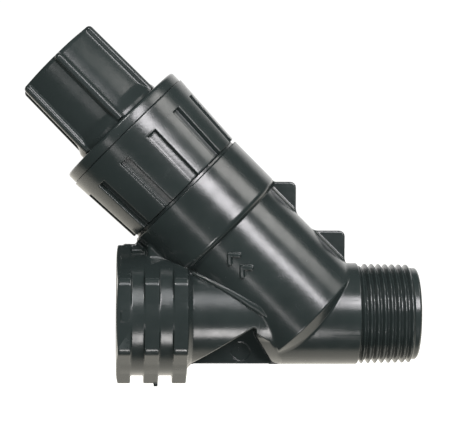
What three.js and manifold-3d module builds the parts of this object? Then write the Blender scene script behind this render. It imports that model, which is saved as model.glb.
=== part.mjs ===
// Y strainer with a screw-down bonnet and a flush cap, for a 3/4 inch plastic pipe line.
// Millimetres, +Z up. Origin: centre of the female mouth, on the run axis. +X runs along the line
// towards the male end. The branch leans back over the female end at BRANCH_ANGLE.
import * as THREE from 'three';
import { mergeVertices } from 'three/addons/utils/BufferGeometryUtils.js';
import Module from 'manifold-3d';

// ---------------------------------------------------------------- driving dimensions
const BRANCH_ANGLE = Math.PI / 4;      // branch axis above the run axis
const X_MOUTH = -50.7;                 // female face, measured from where the two axes cross
const X_MALE_END = 28.95;              // male face, same datum
const R_RUN = 13.4;                    // plain barrel, both sides
const R_WATERWAY = 9.0;                // bore through both pipe ends

const SOCKET_R = 12.1;                 // female thread, minor radius
const SOCKET_X = -33.6;                // bottom of the socket
const HEX_CORNER = 18.7;               // hexagon rings, across corners / 2
const HEX_CHAMFER = 0.94;              // part of each hexagon side that is cut off at a corner
const HEX_DROP = 0.3;                  // the rings sit a little below the run axis
const FACE_CHAMFER = 0.6;              // the female face falls back at the hexagon corners
const RING_X = [[-50.7, -46.9], [-43.5, -39.6], [-36.0, -32.2]];
const R_SLEEVE = 16.2;                 // barrel between the hexagon rings

const THREAD_R = 13.22;                // male thread, crest
const THREAD_ROOT = 12.06;             // male thread, root
const THREAD_PITCH = 1.814;            // 14 turns per inch
const THREAD_X0 = 13.9;                // first crest
const THREAD_TURNS = 7;

const R_BRANCH = 16.5;                 // lower branch
const U_BRANCH = -0.5;                 // lower end of the branch, at its edge
const END_CONE = [12.25, 3.4];         // the end bulges by this much at this radius, inside the run
const R_COLLAR = 18.3;
const U_COLLAR = [30.9, 45.9];
const R_NECK = 15.6;                   // crest of the neck thread
const U_NECK = 64.0;
const R_BRANCH_BORE = 13.0;
const R_CHAMBER = 9.9;                 // below the screen seat
const U_SEAT = 16.0;

const NUT_U = [46.8, 67.5];
const NUT_R = [18.3, 19.45];           // bottom, top: it tapers
const NUT_BORE = 15.9;
const NUT_LIP = 13.7;
const NUT_SLOTS = 12;
const SLOT = { width: 2.8, depth: 1.4, top: 62.7, phase: 10 };

const R_HUB = 13.35;                   // bonnet, inside the nut lip
const R_LIFT = 19.1;                   // lift ring
const U_LIFT = [67.85, 70.3];
const R_SPIGOT = 9.0;
const U_SPIGOT = 89.6;
const R_FLUSH = 5.5;

const CAP_U = [70.6, 94.45];
const CAP_RIBS = 6;
const CAP_RIB_PHASE = 2.3;
const R_CAP_RIB = 14.1;
const R_CAP_BASE = 13.2;
const R_CAP_CORE = 13.55;              // six-sided core, across corners / 2
const CAP_DOME = 0.55;

const COS = Math.cos(BRANCH_ANGLE), SIN = Math.sin(BRANCH_ANGLE);
const DEG = Math.PI / 180;

// ---------------------------------------------------------------- solids
const wasm = await Module();
wasm.setup();

// closed three.js geometry -> solid, faces turned outwards
function solid(geometry, matrix = null) {
  let g = geometry.clone();
  g.deleteAttribute('normal');
  g.deleteAttribute('uv');
  if (matrix) g.applyMatrix4(matrix);
  g = mergeVertices(g, 1e-4);
  const p = g.attributes.position.array;
  const src = g.index.array;
  const tri = [];
  let volume = 0;
  for (let i = 0; i < src.length; i += 3) {
    const [a, b, c] = [src[i], src[i + 1], src[i + 2]];
    if (a === b || b === c || c === a) continue;
    tri.push(a, b, c);
    const A = new THREE.Vector3().fromArray(p, 3 * a);
    const B = new THREE.Vector3().fromArray(p, 3 * b);
    const C = new THREE.Vector3().fromArray(p, 3 * c);
    volume += A.dot(B.cross(C));
  }
  if (volume < 0) for (let i = 0; i < tri.length; i += 3) [tri[i], tri[i + 1]] = [tri[i + 1], tri[i]];
  return new wasm.Manifold(new wasm.Mesh({
    numProp: 3,
    vertProperties: Float32Array.from(p),
    triVerts: Uint32Array.from(tri),
  }));
}

function geometryOf(manifold) {
  const m = manifold.getMesh();
  const g = new THREE.BufferGeometry();
  g.setAttribute('position', new THREE.BufferAttribute(new Float32Array(m.vertProperties), 3));
  g.setIndex(new THREE.BufferAttribute(new Uint32Array(m.triVerts), 1));
  const flat = g.toNonIndexed();
  flat.computeVertexNormals();
  return flat;
}

// profile [[radius, height], ...] turned about +Z; closes on itself unless it starts and ends on the axis
function turned(profile, segments, phase = 0) {
  const pts = profile.map(([r, h]) => new THREE.Vector2(r, h));
  const onAxis = profile[0][0] === 0 && profile[profile.length - 1][0] === 0;
  if (!onAxis) pts.push(pts[0].clone());
  const g = new THREE.LatheGeometry(pts, segments, phase);
  g.rotateX(Math.PI / 2);
  return g;
}

// closed outline [[a, b], ...] in the XY plane, pushed along +Z
function pushed(outline, depth) {
  const shape = new THREE.Shape(outline.map(([a, b]) => new THREE.Vector2(a, b)));
  return new THREE.ExtrudeGeometry(shape, { depth, bevelEnabled: false, steps: 1 });
}

// turned about the run axis: profile is [[radius, x], ...]
const ALONG_X = new THREE.Matrix4().makeRotationY(Math.PI / 2);
// outline given in XZ, pushed along Y and centred on the mid-plane
const plate = (outline, thickness) => {
  const g = pushed(outline, thickness);
  g.translate(0, 0, -thickness / 2);
  g.rotateX(Math.PI / 2);
  return solid(g);
};
// branch frame: local +Z is the branch axis, local +X points up and towards the male end
const BRANCH = new THREE.Matrix4().makeRotationY(-BRANCH_ANGLE);
const branchTurned = (profile, segments) => solid(turned(profile, segments), BRANCH);
const runTurned = (profile, segments, phase = 0) => solid(turned(profile, segments, phase), ALONG_X);
// branch coordinates (across, along) -> run coordinates (x, z)
const xz = (t, u) => [(t - u) * COS, (t + u) * SIN];

// ---------------------------------------------------------------- materials
const plastic = (color, roughness = 0.32) => new THREE.MeshStandardMaterial({ color, roughness, metalness: 0 });
const MATERIAL = {
  body: plastic(0x2b3132),
  nut: plastic(0x2b3132, 0.3),
  cap: plastic(0x2a3031, 0.3),
  bonnet: plastic(0x2e3435, 0.36),
  cage: plastic(0x3a3d3e, 0.5),
  seal: new THREE.MeshStandardMaterial({ color: 0x151515, roughness: 0.75, metalness: 0 }),
  mesh: new THREE.MeshStandardMaterial({ color: 0xb4b8ba, roughness: 0.35, metalness: 0.9 }),
};

// ---------------------------------------------------------------- body
function hexRing(x0, x1) {
  // corners point up and down; every corner is cut by a small flat
  const outline = [];
  for (let k = 0; k < 6; k++) {
    const a = (90 + 60 * k) * DEG;
    const at = (s) => {
      const b = a + s * 60 * DEG;
      const A = [HEX_CORNER * Math.cos(a), HEX_CORNER * Math.sin(a)];
      const B = [HEX_CORNER * Math.cos(b), HEX_CORNER * Math.sin(b)];
      const f = HEX_CHAMFER / HEX_CORNER;
      return [A[0] + (B[0] - A[0]) * f, A[1] + (B[1] - A[1]) * f - HEX_DROP];
    };
    outline.push(at(-1), at(1));
  }
  const g = pushed(outline, x1 - x0);
  // outline X -> world Y, outline Y -> world Z, depth -> world X
  g.applyMatrix4(new THREE.Matrix4().set(0, 0, 1, x0, 1, 0, 0, 0, 0, 1, 0, 0, 0, 0, 0, 1));
  return solid(g);
}

function maleThread() {
  // plain neck, then crests one pitch apart, then a rounded lead-in; a core on the axis joins them
  const p = [[0, -12], [R_RUN, -12], [R_RUN, 12.6], [R_RUN - 0.35, 13.1], [THREAD_ROOT, THREAD_X0 - 0.6]];
  for (let k = 0; k < THREAD_TURNS; k++) {
    const x = THREAD_X0 + k * THREAD_PITCH;
    const crest = THREAD_R - 0.03 * k;
    p.push([crest, x], [crest, x + 0.5], [THREAD_ROOT, x + 1.0]);
    if (k < THREAD_TURNS - 1) p.push([THREAD_ROOT, x + THREAD_PITCH - 0.5]);
  }
  const end = THREAD_X0 + THREAD_TURNS * THREAD_PITCH;
  p.push([THREAD_ROOT, end - 0.2], [12.35, end], [12.2, X_MALE_END - 1.5], [11.5, X_MALE_END - 0.4], [10.9, X_MALE_END], [0, X_MALE_END]);
  return runTurned(p, 32);
}

function body() {
  // outside
  let s = branchTurned([
    [0, U_BRANCH - END_CONE[1]], [END_CONE[0], U_BRANCH - END_CONE[1]], [R_BRANCH - 0.15, U_BRANCH - 0.12], [R_BRANCH, U_BRANCH + 0.1], [R_BRANCH, U_COLLAR[0]],
    [R_COLLAR - 0.9, U_COLLAR[0] + 0.15], [R_COLLAR, U_COLLAR[0] + 1.2],
    [R_COLLAR, U_COLLAR[1] - 0.5], [R_COLLAR - 0.5, U_COLLAR[1]],
    [R_COLLAR - 0.9, U_COLLAR[1]], [R_COLLAR - 0.9, U_COLLAR[1] + 0.55], [R_NECK, U_COLLAR[1] + 0.55], [R_NECK, U_NECK - 0.8], [R_NECK - 0.8, U_NECK], [0, U_NECK],
  ], 44);
  s = s.add(maleThread());
  s = s.add(runTurned([[0, SOCKET_X - 12], [R_SLEEVE, SOCKET_X - 12], [R_SLEEVE, -32.3], [14.7, -32.1], [R_RUN, -30.9], [R_RUN, -8], [0, -8]], 32));
  s = s.add(runTurned([[0, X_MOUTH + 1.2], [R_SLEEVE, X_MOUTH + 1.2], [R_SLEEVE, -40], [0, -40]], 32));
  const [first, ...others] = RING_X;
  s = s.add(hexRing(...first).intersect(runTurned([
    [0, first[0] - 1], [HEX_CORNER - 2.1, first[0] - 1], [HEX_CORNER - 2.1, first[0]], [HEX_CORNER + 0.4, first[0] + FACE_CHAMFER], [HEX_CORNER + 1, first[1] + 1], [0, first[1] + 1],
  ], 32)));
  for (const [a, b] of others) s = s.add(hexRing(a, b));
  // trimmed moulding gate under the middle ring
  s = s.add(solid(new THREE.BoxGeometry(1.3, 1.3, 1.4), new THREE.Matrix4().makeTranslation(-40.2, 0, -HEX_CORNER - HEX_DROP + 0.36)));

  // stiffeners between the socket and the collar: a wide block and a thin plate on the mid-plane
  s = s.add(plate([[-42.6, 12], [-42.6, 17.6], [-41.6, 18.9], [-40.3, 19.0], [-36, 15.5], [-22, 8], [-22, 4]], 13.6));
  s = s.add(plate([[-48.5, 13], [-48.5, 18.2], [-45.8, 18.2], [-44.3, 19.85], xz(-14, 44.5), xz(-12, 20), [-28, 4]], 3.0));
  // two lugs on the far side of the branch, on the mid-plane, corners rounded
  const lug = (x1, z1, u) => {
    const r = 1.5;
    const arc = [];
    for (let k = 0; k <= 4; k++) {
      const a = (90 - 22.5 * k) * DEG;
      arc.push([x1 - r + r * Math.cos(a), z1 - r + r * Math.sin(a)]);
    }
    return plate([xz(12, u), xz(12, u + 9), [x1 - 8.5, z1], ...arc, [x1, z1 - 8.5]], 3.2);
  };
  s = s.add(lug(-3.35, 34.8, 22));
  s = s.add(lug(9.65, 21.95, 3.5));

  // pocket under the run, both sides of a mid-plane web
  const pocket = [[-31.6, -13.6], [-30.6, -12.85], [-15.3, -3.2], [-14.7, -3.4], [-14.4, -5.4], [-9.6, -12.85], [-9.4, -19], [-31.6, -19]];
  const whole = plate(pocket, 60);
  const web = plate(pocket.map(([x, z]) => [x, z]), 3.0);
  s = s.subtract(whole.subtract(web));
  s = s.add(plate([[-31.6, -13.2], [-9.7, -13.2], [-13, -3], [-30, -8]], 3.0));
  // trim below the web
  s = s.subtract(plate([[-30.85, -13.3], [-10.2, -13.3], [-10.2, -19], [-30.85, -19]], 3.4));

  // inside: socket, waterways, chamber, seat, branch bore
  s = s.subtract(runTurned([[0, X_MOUTH - 1], [SOCKET_R + 1.8, X_MOUTH - 1], [SOCKET_R + 0.9, X_MOUTH], [SOCKET_R, X_MOUTH + 1.0], [SOCKET_R, SOCKET_X], [0, SOCKET_X]], 32));
  const bore = runTurned([[0, SOCKET_X - 1], [R_WATERWAY, SOCKET_X - 1], [R_WATERWAY, -12], [0, -12]], 28);
  const rising = plate([[-36, -9.4], [-30.3, -9.4], [-17.13, -1.11], xz(-12.9, U_SEAT), xz(-4, U_SEAT), [-13.4, 9.3], [-36, 9.3]], 40);
  s = s.subtract(bore.intersect(rising));
  s = s.subtract(runTurned([[0, -4.9], [R_WATERWAY, -4.9], [R_WATERWAY, X_MALE_END + 1], [0, X_MALE_END + 1]], 28));
  s = s.subtract(branchTurned([
    [0, -3], [R_CHAMBER, -3], [R_CHAMBER, U_SEAT], [R_BRANCH_BORE, U_SEAT],
    [R_BRANCH_BORE, U_NECK - 0.8], [R_BRANCH_BORE + 0.6, U_NECK + 0.01], [R_BRANCH_BORE + 0.6, U_NECK + 1], [0, U_NECK + 1],
  ], 36));
  return s;
}

// ---------------------------------------------------------------- retaining nut
function nut() {
  let s = solid(turned([
    [NUT_BORE, NUT_U[0]], [NUT_R[0] - 0.3, NUT_U[0]], [NUT_R[0], NUT_U[0] + 0.3],
    [NUT_R[1], NUT_U[1] - 0.5], [NUT_R[1] - 0.5, NUT_U[1]], [NUT_LIP, NUT_U[1]], [NUT_LIP, 65.9], [NUT_BORE, 65.9],
  ], 48));
  const taper = Math.atan2(NUT_R[1] - NUT_R[0], NUT_U[1] - NUT_U[0]);
  const h = SLOT.top - NUT_U[0] + 4;
  const slot = new THREE.BoxGeometry(4, SLOT.width, h);
  slot.translate(2 - SLOT.depth, 0, h / 2 - 4);
  for (let k = 0; k < NUT_SLOTS; k++) {
    // angles run from the front (-Y) towards +X
    const a = (-90 + SLOT.phase + 30 * k) * DEG;
    const m = new THREE.Matrix4().makeRotationZ(a)
      .multiply(new THREE.Matrix4().makeTranslation(NUT_R[0], 0, NUT_U[0]))
      .multiply(new THREE.Matrix4().makeRotationY(taper));
    s = s.subtract(solid(slot, m));
  }
  return s;
}

// ---------------------------------------------------------------- bonnet and lift ring
const bonnet = () => solid(turned([
  [R_FLUSH, 47.0], [8.3, 47.0], [8.7, 47.4], [8.7, 50.4], [7.7, 50.4], [7.7, 52.9], [8.7, 52.9], [8.7, 56.0],
  [12.2, 56.0], [12.7, 56.5], [12.7, 59.2], [11.0, 59.2], [11.0, 61.4], [12.7, 61.4], [12.7, 64.3],
  [15.2, 64.3], [15.2, 65.6], [R_HUB, 65.6], [R_HUB, 68.4], [12.65, 68.4], [12.65, 69.8], [R_HUB - 0.1, 69.8], [R_HUB - 0.1, 70.3],
  [R_SPIGOT, 70.3], [R_SPIGOT, U_SPIGOT - 0.6], [R_SPIGOT - 0.6, U_SPIGOT], [R_FLUSH, U_SPIGOT],
], 32));

const liftRing = () => solid(turned([
  [13.7, U_LIFT[0]], [R_LIFT - 0.2, U_LIFT[0]], [R_LIFT, U_LIFT[0] + 0.2], [R_LIFT, U_LIFT[1] - 0.4],
  [R_LIFT - 0.25, U_LIFT[1] + 0.1], [R_LIFT - 0.8, U_LIFT[1] + 0.3], [14.9, U_LIFT[1] + 0.3], [14.5, U_LIFT[1]],
  [13.7, U_LIFT[1]], [13.7, 69.5], [13.0, 69.4], [13.0, 68.8], [13.7, 68.7],
], 40));

// ring of round section
const oRing = (R, r, u, segments = 28, around = 6) => {
  const p = [];
  for (let k = 0; k < around; k++) {
    const a = (360 / around) * (k + 0.5) * DEG;
    p.push([R + r * Math.cos(a), u + r * Math.sin(a)]);
  }
  return solid(turned(p, segments));
};
const flatRing = (r0, r1, u0, u1, segments = 32) => solid(turned([[r0, u0], [r1, u0], [r1, u1], [r0, u1]], segments));

// ---------------------------------------------------------------- flush cap
function flushCap() {
  const [u0, u1] = CAP_U;
  // six-sided core with a slightly domed top on a round flared foot, and a small rib at each corner
  let s = solid(turned([
    [0, u0], [R_CAP_BASE, u0], [R_CAP_BASE, u0 + 1.0], [12.5, u0 + 2.2], [11.5, u0 + 4.6], [11.5, u0 + 6], [0, u0 + 6],
  ], 36));
  s = s.add(solid(turned([
    [0, u0 + 1.0], [R_CAP_CORE, u0 + 1.0], [R_CAP_CORE - 0.35, u1 - 1.0], [R_CAP_CORE - 1.3, u1], [6.5, u1 + CAP_DOME * 0.7], [0, u1 + CAP_DOME],
  ], 6, CAP_RIB_PHASE * DEG)));
  for (let k = 0; k < CAP_RIBS; k++) {
    const rib = pushed([[4, u0 + 0.4], [R_CAP_RIB - 1.3, u0 + 0.4], [R_CAP_RIB - 0.3, u0 + 0.9], [R_CAP_RIB, u0 + 1.6],
      [R_CAP_RIB - 0.35, u1 - 1.6], [R_CAP_RIB - 0.8, u1 - 0.5], [R_CAP_RIB - 1.8, u1 - 0.02], [4, u1 - 0.02]], 2.2);
    rib.translate(0, 0, -1.1);
    rib.rotateX(Math.PI / 2);
    s = s.add(solid(rib, new THREE.Matrix4().makeRotationZ((-90 + CAP_RIB_PHASE + 60 * k) * DEG)));
  }
  s = s.subtract(solid(turned([[0, u0 - 1], [R_SPIGOT + 0.9, u0 - 1], [R_SPIGOT + 0.9, u0], [R_SPIGOT + 0.3, u0 + 0.7], [R_SPIGOT + 0.3, 91.4], [0, 91.4]], 28)));
  return s;
}

// ---------------------------------------------------------------- screen
const SCREEN = { low: 19.0, high: 50.0, meshIn: 9.3, meshOut: 9.6, cageIn: 9.9, cageOut: 10.9 };

function screenCage() {
  const { low, high, cageIn, cageOut } = SCREEN;
  let s = flatRing(cageIn, cageOut, low, high, 36);
  // windows: six columns, three rows
  const rows = 3, post = 1.8;
  const hgt = (high - low - (rows + 1) * post) / rows;
  for (let r = 0; r < rows; r++) {
    for (let c = 0; c < 3; c++) {
      const u = low + post + r * (hgt + post);
      const w = new THREE.BoxGeometry(40, 7.6, hgt);
      w.translate(0, 0, u + hgt / 2);
      w.rotateZ((c * 60 + 30) * DEG);
      s = s.subtract(solid(w));
    }
  }
  return s;
}
const screenMesh = () => flatRing(SCREEN.meshIn, SCREEN.meshOut, SCREEN.low + 0.2, SCREEN.high - 0.2, 32);
const screenUpperRing = () => solid(turned([[9.5, 50.3], [11.6, 50.3], [11.6, 52.6], [11.0, 53.2], [11.0, 55.4], [9.5, 55.4]], 32));
const screenLowerRing = () => solid(turned([
  [9.3, 16.4], [9.6, 16.4], [9.6, 17.9], [12.2, 17.9], [12.2, 18.7], [9.3, 18.7],
], 32));

// ---------------------------------------------------------------- assembly
const strainer = new THREE.Group();
strainer.position.x = -X_MOUTH;
const place = (parent, name, manifold, material) => {
  const m = new THREE.Mesh(geometryOf(manifold), material);
  m.name = name;
  parent.add(m);
};
place(strainer, 'y_body', body(), MATERIAL.body);

const branch = new THREE.Group();
branch.rotation.y = -BRANCH_ANGLE;
strainer.add(branch);
place(branch, 'retaining_nut', nut(), MATERIAL.nut);
place(branch, 'bonnet', bonnet(), MATERIAL.bonnet);
place(branch, 'lift_ring', liftRing(), MATERIAL.nut);
place(branch, 'bonnet_oring', oRing(12.05, 0.75, 60.3), MATERIAL.seal);
place(branch, 'flush_cap', flushCap(), MATERIAL.cap);
place(branch, 'flush_cap_seal', flatRing(4.4, 8.9, 89.9, 91.1), MATERIAL.seal);
place(branch, 'screen_cage', screenCage(), MATERIAL.cage);
place(branch, 'screen_mesh', screenMesh(), MATERIAL.mesh);
place(branch, 'screen_upper_ring', screenUpperRing(), MATERIAL.cage);
place(branch, 'screen_upper_seal', oRing(8.6, 0.6, 51.65), MATERIAL.seal);
place(branch, 'screen_lower_ring', screenLowerRing(), MATERIAL.cage);
place(branch, 'screen_lower_seal', flatRing(9.95, 12.4, 16.3, 17.6), MATERIAL.seal);

export default strainer;
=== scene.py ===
import math
import bpy
import bmesh
import numpy as np
from mathutils import Matrix, Vector


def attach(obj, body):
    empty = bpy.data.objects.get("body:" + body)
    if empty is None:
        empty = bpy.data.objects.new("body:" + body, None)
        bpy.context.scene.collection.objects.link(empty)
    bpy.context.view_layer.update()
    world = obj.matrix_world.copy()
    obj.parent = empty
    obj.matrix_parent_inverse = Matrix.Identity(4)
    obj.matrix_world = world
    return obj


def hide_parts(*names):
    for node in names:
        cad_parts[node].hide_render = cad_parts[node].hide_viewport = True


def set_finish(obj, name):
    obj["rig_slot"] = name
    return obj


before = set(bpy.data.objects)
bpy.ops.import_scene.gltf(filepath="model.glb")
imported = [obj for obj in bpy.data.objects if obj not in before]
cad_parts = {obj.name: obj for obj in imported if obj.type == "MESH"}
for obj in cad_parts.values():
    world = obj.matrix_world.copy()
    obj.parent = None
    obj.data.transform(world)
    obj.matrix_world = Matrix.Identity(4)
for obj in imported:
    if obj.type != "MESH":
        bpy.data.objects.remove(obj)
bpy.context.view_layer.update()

MM = 0.001
C45 = math.sqrt(0.5)
X_MOUTH = -50.7

# ------------------------------------------------------------------ distance-field helpers (millimetres)
F = np.float32


def uround(a, b, r):
    """union with a round fillet of radius r"""
    return np.maximum(r, np.minimum(a, b)) - np.sqrt(np.maximum(r - a, 0) ** 2 + np.maximum(r - b, 0) ** 2)


def iround(a, b, r):
    """intersection with a round edge of radius r"""
    return np.minimum(-r, np.maximum(a, b)) + np.sqrt(np.maximum(r + a, 0) ** 2 + np.maximum(r + b, 0) ** 2)


def polygon(px, pz, pts):
    """signed distance to a closed outline"""
    n = len(pts)
    d = np.full(px.shape, 1e9, F)
    s = np.ones(px.shape, F)
    for i in range(n):
        ax, az = pts[i]
        bx, bz = pts[i - 1]
        ex, ez = bx - ax, bz - az
        wx, wz = px - F(ax), pz - F(az)
        h = np.clip((wx * ex + wz * ez) / (ex * ex + ez * ez), 0, 1)
        dx, dz = wx - h * F(ex), wz - h * F(ez)
        d = np.minimum(d, dx * dx + dz * dz)
        c1 = pz >= az
        c2 = pz < bz
        c3 = ex * wz > ez * wx
        flip = (c1 & c2 & c3) | (~c1 & ~c2 & ~c3)
        s = np.where(flip, -s, s)
    return (s * np.sqrt(d)).astype(F)


def hexagon(py, pz, apothem, turn=0.0):
    d = None
    for k in range(3):
        a = math.radians(turn + 60 * k)
        v = np.abs(py * F(math.cos(a)) + pz * F(math.sin(a)))
        d = v if d is None else np.maximum(d, v)
    return d - F(apothem)


def segment(px, pz, a, b):
    ex, ez = b[0] - a[0], b[1] - a[1]
    wx, wz = px - F(a[0]), pz - F(a[1])
    h = np.clip((wx * ex + wz * ez) / (ex * ex + ez * ez), 0, 1)
    return np.sqrt((wx - h * F(ex)) ** 2 + (wz - h * F(ez)) ** 2)


def chunks(f, p, size=400000):
    out = np.empty(len(p), F)
    for i in range(0, len(p), size):
        q = p[i:i + size]
        out[i:i + size] = f(q[:, 0], q[:, 1], q[:, 2])
    return out


def gradient(f, p, e=0.03):
    k = np.array([[1, -1, -1], [-1, -1, 1], [-1, 1, -1], [1, 1, 1]], F)
    g = np.zeros((len(p), 3), F)
    for row in k:
        g += chunks(f, (p + row * F(e)).astype(F))[:, None] * row
    return g / (4 * e)


def mesh_field(f, low, high, h, steps=3):
    """closed quad mesh of the surface f = 0, its points moved on to the surface"""
    B = 10
    low = np.asarray(low, float) + np.array([0.0137, 0.0173, 0.0111])
    nb = np.ceil((np.asarray(high) - low) / (h * B)).astype(int)
    n = nb * B + 1
    V = np.empty(tuple(n), F)
    axes = [(low[i] + h * np.arange(n[i])).astype(F) for i in range(3)]
    bc = [(low[i] + h * B * (np.arange(nb[i]) + 0.5)).astype(F) for i in range(3)]
    gx, gy, gz = np.meshgrid(*bc, indexing="ij")
    centres = np.stack([gx.ravel(), gy.ravel(), gz.ravel()], -1)
    fc = chunks(f, centres)
    V[:-1, :-1, :-1] = np.repeat(np.repeat(np.repeat(fc.reshape(tuple(nb)), B, 0), B, 1), B, 2)
    V[-1], V[:, -1], V[:, :, -1] = 9, 9, 9
    near = np.nonzero(np.abs(fc) < 1.45 * h * B * math.sqrt(3) / 2 + 0.3)[0]
    bi = np.stack(np.unravel_index(near, tuple(nb)), -1) * B
    o = np.stack(np.meshgrid(*[np.arange(B + 1)] * 3, indexing="ij"), -1).reshape(-1, 3)
    for s in range(0, len(bi), 300):
        idx = (bi[s:s + 300, None, :] + o[None]).reshape(-1, 3)
        p = np.stack([axes[i][idx[:, i]] for i in range(3)], -1)
        V[idx[:, 0], idx[:, 1], idx[:, 2]] = chunks(f, p)
    inside = V < 0
    # no grid face may have its corners inside and outside crosswise: fill the nearer outside corner
    for _ in range(12):
        changed = 0
        for ax in range(3):
            i1, i2 = [(1, 2), (2, 0), (0, 1)][ax]
            def part(a, b):
                sl = [slice(None)] * 3
                sl[i1] = slice(a, None) if a else slice(None, -1)
                sl[i2] = slice(b, None) if b else slice(None, -1)
                return tuple(sl)
            A, Bq, Cq, D = (inside[part(*k)] for k in ((0, 0), (1, 0), (0, 1), (1, 1)))
            bad = np.stack(np.nonzero((A == D) & (Bq == Cq) & (A != Bq)), -1)
            changed += len(bad)
            for row in bad:
                corners = []
                for k in ((0, 0), (1, 0), (0, 1), (1, 1)):
                    q = row.copy()
                    q[i1] += k[0]
                    q[i2] += k[1]
                    if not inside[tuple(q)]:
                        corners.append((V[tuple(q)], tuple(q)))
                if corners:
                    q = min(corners)[1]
                    inside[q] = True
                    V[q] = -1e-3
        if not changed:
            break
    c = {}
    for dx in (0, 1):
        for dy in (0, 1):
            for dz in (0, 1):
                c[dx, dy, dz] = inside[dx:n[0] - 1 + dx, dy:n[1] - 1 + dy, dz:n[2] - 1 + dz]
    any_in = np.zeros_like(c[0, 0, 0])
    all_in = np.ones_like(any_in)
    for v in c.values():
        any_in |= v
        all_in &= v
    active = any_in & ~all_in
    cells = np.stack(np.nonzero(active), -1)
    vid = np.full(active.shape, -1, np.int32)
    vid[active] = np.arange(len(cells))
    corner = np.stack([V[cells[:, 0] + a, cells[:, 1] + b, cells[:, 2] + d] for a in (0, 1) for b in (0, 1) for d in (0, 1)], -1)
    offs = np.array([(a, b, d) for a in (0, 1) for b in (0, 1) for d in (0, 1)], F)
    total = np.zeros((len(cells), 3), F)
    count = np.zeros(len(cells), F)
    for i in range(8):
        for j in range(i + 1, 8):
            if np.abs(offs[i] - offs[j]).sum() != 1:
                continue
            a, b = corner[:, i], corner[:, j]
            cross = (a < 0) != (b < 0)
            w = np.where(cross, a / np.where(cross, a - b, 1), 0)
            total += np.where(cross[:, None], offs[i] + (offs[j] - offs[i]) * w[:, None], 0)
            count += cross
    p = (low + (cells + total / count[:, None]) * h).astype(F)
    for _ in range(steps):
        d = chunks(f, p)
        g = gradient(f, p)
        move = d[:, None] * g / np.maximum((g * g).sum(1), 0.25)[:, None]
        length = np.sqrt((move ** 2).sum(1))[:, None]
        p = (p - move * np.minimum(1, 0.45 * h / np.maximum(length, 1e-9))).astype(F)
    quads = []
    for ax in range(3):
        a1, a2 = [(1, 2), (2, 0), (0, 1)][ax]
        lo = [slice(1, -1)] * 3
        hi = [slice(1, -1)] * 3
        lo[ax], hi[ax] = slice(0, -1), slice(1, None)
        A, Bv = inside[tuple(lo)], inside[tuple(hi)]
        e = np.stack(np.nonzero(A != Bv), -1)
        first = A[A != Bv]
        base = e.copy()
        base[:, a1] += 1
        base[:, a2] += 1
        u1 = np.zeros(3, int)
        u1[a1] = 1
        u2 = np.zeros(3, int)
        u2[a2] = 1
        q = [vid[tuple((base - s).T)] for s in (u1 + u2, u2, 0 * u1, u1)]
        q = np.stack(q, -1)
        q[~first] = q[~first][:, ::-1]
        quads.append(q)
    return p, np.concatenate(quads)


def new_mesh(name, verts, faces, scale=MM):
    me = bpy.data.meshes.new(name)
    verts = np.asarray(verts, float) * scale
    if isinstance(faces, np.ndarray):
        k = faces.shape[1]
        me.vertices.add(len(verts))
        me.vertices.foreach_set("co", verts.astype(np.float32).ravel())
        me.loops.add(faces.size)
        me.loops.foreach_set("vertex_index", faces.astype(np.int32).ravel())
        me.polygons.add(len(faces))
        me.polygons.foreach_set("loop_start", np.arange(0, faces.size, k, dtype=np.int32))
        me.update(calc_edges=True)
    else:
        me.from_pydata([tuple(v) for v in verts], [], faces)
    me.validate()
    ob = bpy.data.objects.new(name, me)
    bpy.context.scene.collection.objects.link(ob)
    return ob


def apply_modifiers(ob):
    bpy.context.view_layer.update()
    dg = bpy.context.evaluated_depsgraph_get()
    me = bpy.data.meshes.new_from_object(ob.evaluated_get(dg))
    old = ob.data
    ob.modifiers.clear()
    ob.data = me
    bpy.data.meshes.remove(old)
    return ob


def verts_of(ob):
    co = np.empty(len(ob.data.vertices) * 3, np.float32)
    ob.data.vertices.foreach_get("co", co)
    return co.reshape(-1, 3)


def smooth(ob, angle=38):
    ob.data.polygons.foreach_set("use_smooth", np.ones(len(ob.data.polygons), bool))
    ob.data.set_sharp_from_angle(angle=math.radians(angle))


def field_object(name, f, low, high, h, faces, transform=None, steps=3):
    """mesh of a field, thinned to about the given number of triangles, its points then moved back on to the field"""
    p, q = mesh_field(f, low, high, h, steps)
    ob = new_mesh(name, p, q, 1.0)
    tris = 2 * len(q)
    if tris > faces:
        m = ob.modifiers.new("thin", "DECIMATE")
        m.ratio = faces / tris
        apply_modifiers(ob)
        co = verts_of(ob)
        for _ in range(2):
            d = chunks(f, co)
            g = gradient(f, co)
            move = d[:, None] * g / np.maximum((g * g).sum(1), 0.25)[:, None]
            length = np.sqrt((move ** 2).sum(1))[:, None]
            co = (co - move * np.minimum(1, 0.12 / np.maximum(length, 1e-9))).astype(F)
        ob.data.vertices.foreach_set("co", co.ravel())
        ob.data.update()
    return ob


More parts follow.
